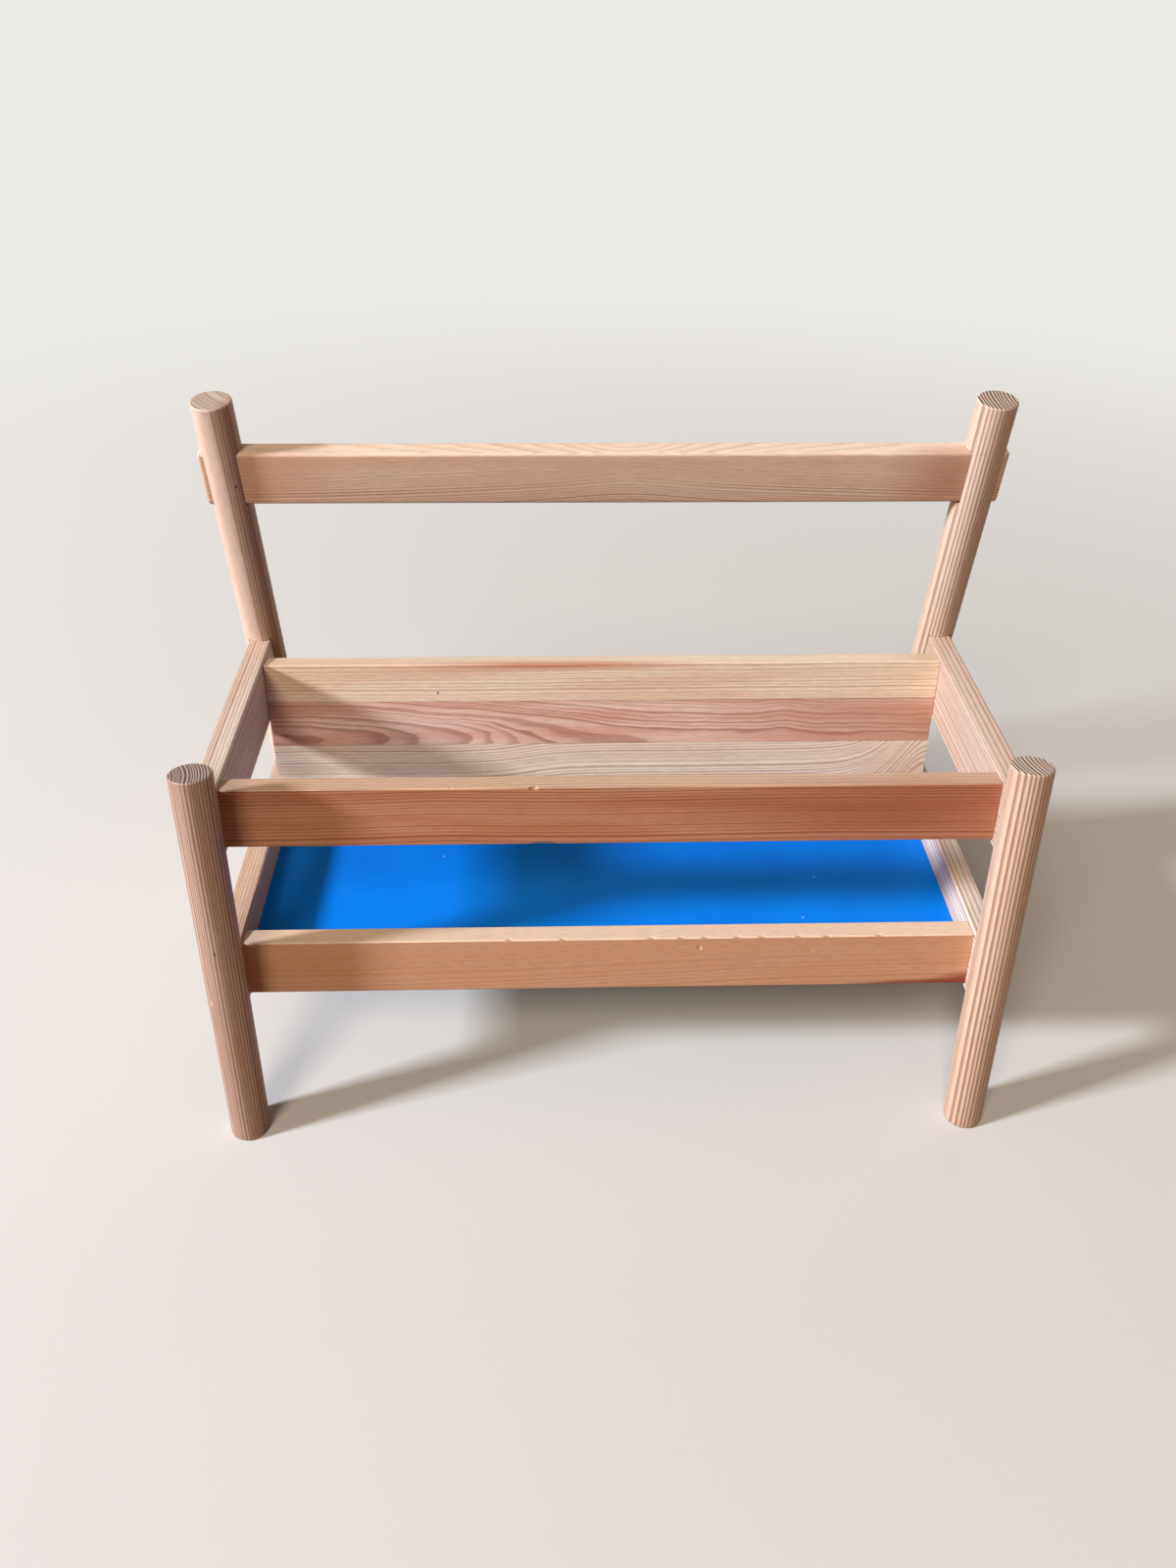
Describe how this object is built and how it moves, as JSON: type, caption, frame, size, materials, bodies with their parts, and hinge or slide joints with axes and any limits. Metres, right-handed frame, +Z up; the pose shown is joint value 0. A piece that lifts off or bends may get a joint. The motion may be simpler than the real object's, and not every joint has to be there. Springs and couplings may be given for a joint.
{
  "type": "bookshelf",
  "caption": "Low tabletop bookshelf: round legs in leaning pairs, plank rails, a leaning board back, a crossbar and a blue tray for books.",
  "frame": {"origin": "on the floor, in the middle between the four feet", "axes": "+Z up, +Y towards the back, +X to the right as one faces the front"},
  "size_m": [0.481, 0.282, 0.3954],
  "materials": {
    "pine": "clear satin lacquer on pale pine",
    "pine_red": "clear satin lacquer on reddish straight-grained pine",
    "pine_honey": "clear satin lacquer on honey-coloured pine",
    "pine_board": "clear satin lacquer on edge-glued pine",
    "blue_paint": "smooth satin blue paint on board",
    "dowel": "bare hardwood"
  },
  "bodies": {
    "root": {"front_post_left": "pine", "front_post_right": "pine", "rear_post_left": "pine", "rear_post_right": "pine", "crossbar": "pine", "upper_side_rail_left": "pine", "upper_side_rail_right": "pine", "lower_side_rail_left": "pine", "lower_side_rail_right": "pine", "upper_front_rail": "pine_red", "lower_front_rail": "pine_honey", "back_stave_top": "pine_board", "back_stave_upper": "pine_board", "back_stave_lower": "pine_board", "back_stave_bottom": "pine_board", "tray": "blue_paint", "dowel_upper_left_front": "dowel", "dowel_upper_left_rear": "dowel", "dowel_upper_right_front": "dowel", "dowel_upper_right_rear": "dowel", "dowel_lower_left_front": "dowel", "dowel_lower_left_rear": "dowel", "dowel_lower_right_front": "dowel", "dowel_lower_right_rear": "dowel", "dowel_upper_front_rail_high_left": "dowel", "dowel_upper_front_rail_high_right": "dowel", "dowel_upper_front_rail_low_left": "dowel", "dowel_upper_front_rail_low_right": "dowel", "dowel_lower_front_rail_high_left": "dowel", "dowel_lower_front_rail_high_right": "dowel", "dowel_lower_front_rail_low_left": "dowel", "dowel_lower_front_rail_low_right": "dowel", "dowel_panel_high_left": "dowel", "dowel_panel_high_right": "dowel", "dowel_panel_middle_left": "dowel", "dowel_panel_middle_right": "dowel", "dowel_panel_low_left": "dowel", "dowel_panel_low_right": "dowel"}
  },
  "joints": []
}
